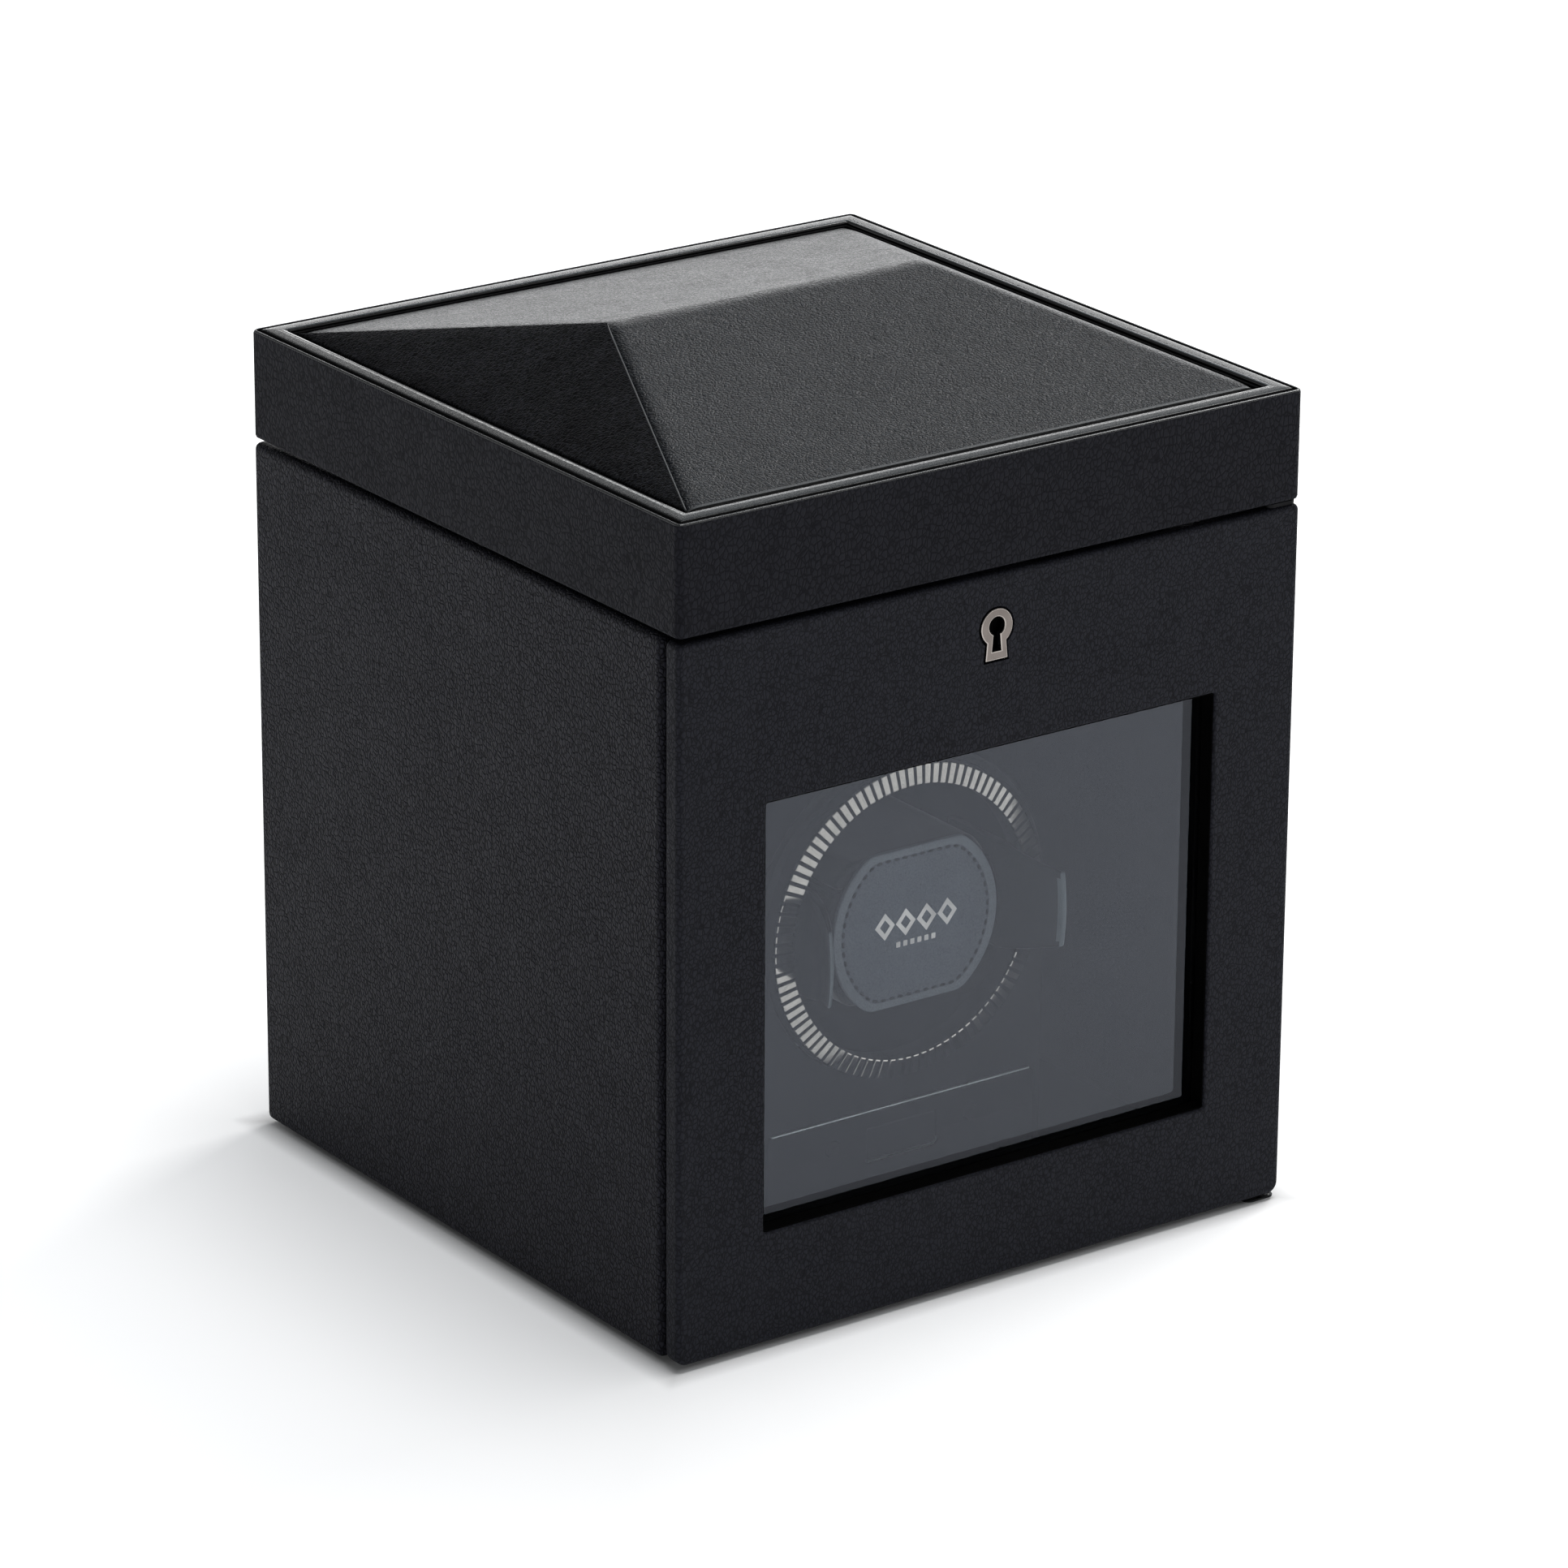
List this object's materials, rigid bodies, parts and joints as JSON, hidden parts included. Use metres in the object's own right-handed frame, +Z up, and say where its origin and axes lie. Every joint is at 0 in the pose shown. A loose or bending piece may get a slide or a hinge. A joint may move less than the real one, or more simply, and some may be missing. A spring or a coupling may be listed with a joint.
{
  "type": "watch winder box",
  "caption": "Leather-covered watch winder cabinet with a lockable glazed door, a belt-driven rotating drum with a watch cuff, and storage under a hinged hip-roofed lid.",
  "frame": {"origin": "bottom centre of the bounding box, on the surface the feet stand on", "axes": "+Z up, -Y out through the door, +X to the right for someone facing the door"},
  "size_m": [0.19, 0.194, 0.2379],
  "materials": {
    "leather": "fine pebble grain, satin",
    "roof_leather": "coarser pebble grain, satin, folded at the hips",
    "velvet": "short black suede-like flock",
    "glass": "clear, polished",
    "gloss_plastic": "high gloss black",
    "satin_plastic": "fine moulded texture",
    "arm_plastic": "satin, slightly translucent edges",
    "patch_leather": "smooth grain with a stitched border",
    "ring_metal": "machined flutes, warm silver",
    "gunmetal": "warm gunmetal plating, satin",
    "steel": "fine brushed",
    "bronze": "sintered bronze",
    "rubber": "matt",
    "board": "solder mask green",
    "display": "unlit liquid crystal display behind clear plastic"
  },
  "bodies": {
    "case": {"side_panel_left": "leather", "side_panel_right": "leather", "back_panel": "leather", "base_panel": "velvet", "front_rail": "leather", "chamber_ceiling": "velvet", "foot_front_left": "rubber", "foot_front_right": "rubber", "foot_rear_left": "rubber", "foot_rear_right": "rubber", "storage_pillow_1": "velvet", "storage_pillow_2": "velvet", "storage_pillow_3": "velvet", "storage_tray": "velvet", "pivot_leaf_top": "steel", "pivot_leaf_bottom": "steel", "hinge_leaf_case_left": "steel", "hinge_leaf_case_right": "steel", "hinge_pin_left": "steel", "hinge_pin_right": "steel", "module_fascia": "satin_plastic", "module_shell": "satin_plastic", "module_cover": "satin_plastic", "bearing_plate": "steel", "shaft_bush": "bronze", "motor": "steel", "circuit_board": "board", "drive_belt": "rubber", "control_panel": "gloss_plastic", "display_window": "display", "power_jack": "satin_plastic"},
    "lid": {"lid_frame": "leather", "strike_plate": "steel", "lid_bead": "leather", "lid_roof": "roof_leather", "lid_lining": "velvet", "hinge_leaf_lid_left": "steel", "hinge_leaf_lid_right": "steel"},
    "door": {"door_face": "leather", "escutcheon": "gunmetal", "lock_case": "steel", "door_back_frame": "velvet", "window_glass": "glass", "glass_retainer": "satin_plastic", "pivot_pin_top": "steel", "pivot_pin_bottom": "steel"},
    "lock_bolt": {"lock_bolt": "steel"},
    "drum": {"drum_ring": "ring_metal", "drum_cup": "velvet", "drum_shaft": "steel", "drum_pulley": "satin_plastic", "cuff_core": "satin_plastic", "cuff_pad_upper": "velvet", "cuff_pad_lower": "velvet", "cuff_patch": "patch_leather"},
    "motor_rotor": {"motor_pulley": "satin_plastic"},
    "cuff_arm_left": {"cuff_arm_left": "arm_plastic"},
    "cuff_arm_right": {"cuff_arm_right": "arm_plastic"},
    "button_left": {"button_left": "gloss_plastic"},
    "button_right": {"button_right": "gloss_plastic"}
  },
  "joints": [
    {"name": "lid_hinge", "type": "hinge", "parent": "case", "child": "lid", "pos_m": [0, 0.095, 0.1909], "axis": [-1, 0, 0], "range_deg": [0, 95]},
    {"name": "door_pivot", "type": "hinge", "parent": "case", "child": "door", "pos_m": [0.092, -0.094, 0.0965], "axis": [0, 0, 1], "range_deg": [0, 105]},
    {"name": "bolt_throw", "type": "slide", "parent": "door", "child": "lock_bolt", "axis": [0, 0, 1], "range_m": [0, 0.0042]},
    {"name": "drum_spin", "type": "hinge", "parent": "case", "child": "drum", "pos_m": [0, 0, 0.0878], "axis": [0, 1, 0], "continuous": true},
    {"name": "motor_spin", "type": "hinge", "parent": "case", "child": "motor_rotor", "pos_m": [0, 0.04, 0.0518], "axis": [0, 1, 0], "continuous": true},
    {"name": "cuff_squeeze_left", "type": "hinge", "parent": "drum", "child": "cuff_arm_left", "pos_m": [-0.0301, -0.042, 0.0878], "axis": [0, 0, 1], "range_deg": [0, 3], "stiffness_Nm_per_rad": 2},
    {"name": "cuff_squeeze_right", "type": "hinge", "parent": "drum", "child": "cuff_arm_right", "pos_m": [0.0301, -0.042, 0.0878], "axis": [0, 0, -1], "range_deg": [0, 3], "stiffness_Nm_per_rad": 2},
    {"name": "button_left_press", "type": "slide", "parent": "case", "child": "button_left", "axis": [0, 1, 0], "range_m": [0, 0.0006], "stiffness_N_per_m": 1500},
    {"name": "button_right_press", "type": "slide", "parent": "case", "child": "button_right", "axis": [0, 1, 0], "range_m": [0, 0.0006], "stiffness_N_per_m": 1500}
  ],
  "couplings": [
    {"joint": "motor_spin", "follows": "drum_spin", "ratio": 3.3188}
  ]
}
